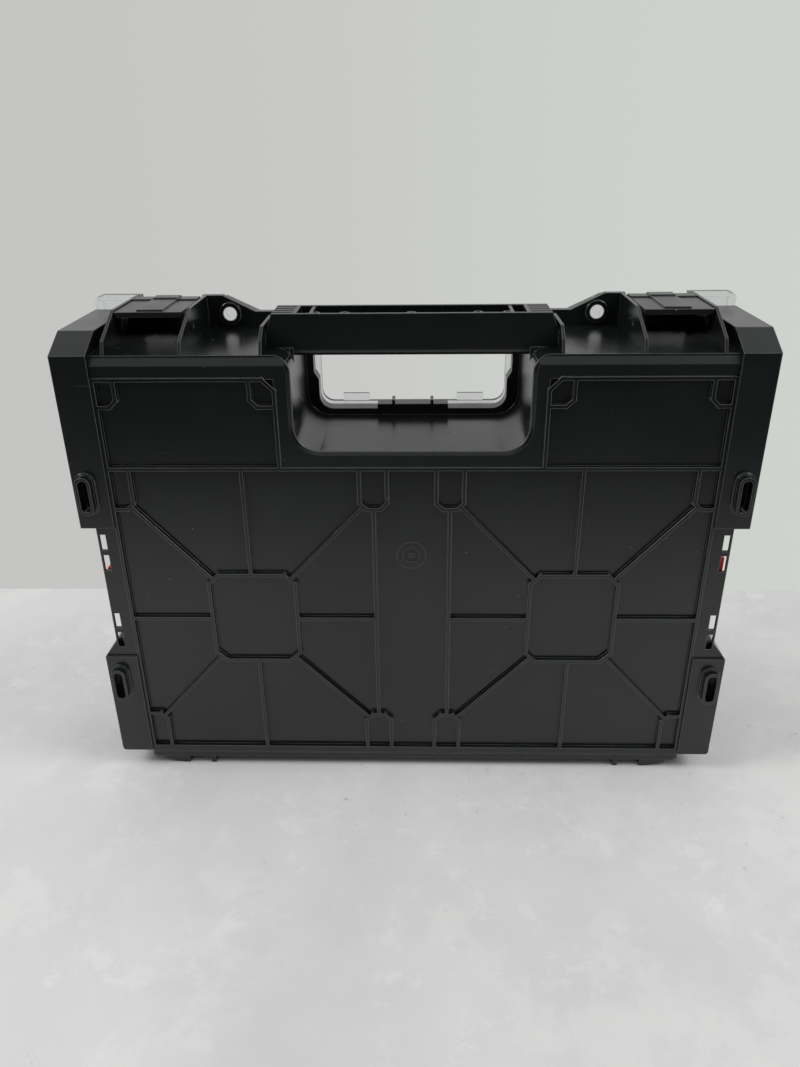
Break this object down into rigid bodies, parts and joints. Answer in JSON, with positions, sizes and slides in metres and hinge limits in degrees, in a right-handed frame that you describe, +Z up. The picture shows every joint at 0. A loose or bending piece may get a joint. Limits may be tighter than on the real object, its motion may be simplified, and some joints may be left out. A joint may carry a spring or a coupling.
{
  "type": "stackable tool and parts case",
  "caption": "Flat black plastic case for tools and small parts, with a fixed handle, two latches, a clear hinged lid, stacking pegs, side locks and lift-out cups.",
  "frame": {"origin": "centre of the bounding box in X and Y, on the floor that the case stands on", "axes": "+X to the right across the ribbed panel as seen from outside it, +Y from the ribbed panel to the clear lid, +Z up from the hinge edge to the handle"},
  "size_m": [0.5, 0.1234, 0.384],
  "materials": {
    "black_shell": "fine semi-gloss moulded",
    "clear_lid": "clear polished",
    "seal": "matte",
    "steel": "drawn",
    "black_latch": "fine semi-gloss moulded",
    "red_lock": "semi-gloss moulded",
    "black_bin": "matte moulded"
  },
  "bodies": {
    "case": {"base_shell": "black_shell", "recess_wall": "black_shell", "hinge_foot": "black_shell", "handle": "black_shell", "lock_rail_left": "black_shell", "lock_rail_right": "black_shell", "side_bumper_left": "black_shell", "side_bumper_right": "black_shell", "latch_frame_left": "black_shell", "latch_frame_right": "black_shell", "hinge_pin_left": "steel", "hinge_pin_right": "steel", "bin_top_left": "black_bin", "bin_top_right": "black_bin", "bin_upper_1": "black_bin", "bin_upper_2": "black_bin", "bin_upper_3": "black_bin", "bin_upper_4": "black_bin", "bin_lower_1": "black_bin", "bin_lower_2": "black_bin", "bin_lower_3": "black_bin", "bin_lower_4": "black_bin"},
    "lid": {"lid": "clear_lid", "lid_seal": "seal"},
    "latch_left": {"latch_left": "black_latch"},
    "latch_right": {"latch_right": "black_latch"},
    "side_lock_left": {"side_lock_left": "red_lock"},
    "side_lock_right": {"side_lock_right": "red_lock"}
  },
  "joints": [
    {"name": "lid_hinge", "type": "hinge", "parent": "case", "child": "lid", "pos_m": [0, 0.04715, 0.004], "axis": [-1, 0, 0], "range_deg": [0, 110]},
    {"name": "latch_left_pivot", "type": "hinge", "parent": "case", "child": "latch_left", "pos_m": [-0.1884, -0.00735, 0.3708], "axis": [1, 0, 0], "range_deg": [0, 90]},
    {"name": "latch_right_pivot", "type": "hinge", "parent": "case", "child": "latch_right", "pos_m": [0.1884, -0.00735, 0.3708], "axis": [1, 0, 0], "range_deg": [0, 90]},
    {"name": "side_lock_left_slide", "type": "slide", "parent": "case", "child": "side_lock_left", "axis": [0, 0, 1], "range_m": [0, 0.0115]},
    {"name": "side_lock_right_slide", "type": "slide", "parent": "case", "child": "side_lock_right", "axis": [0, 0, 1], "range_m": [-0.0095, 0.002]}
  ]
}
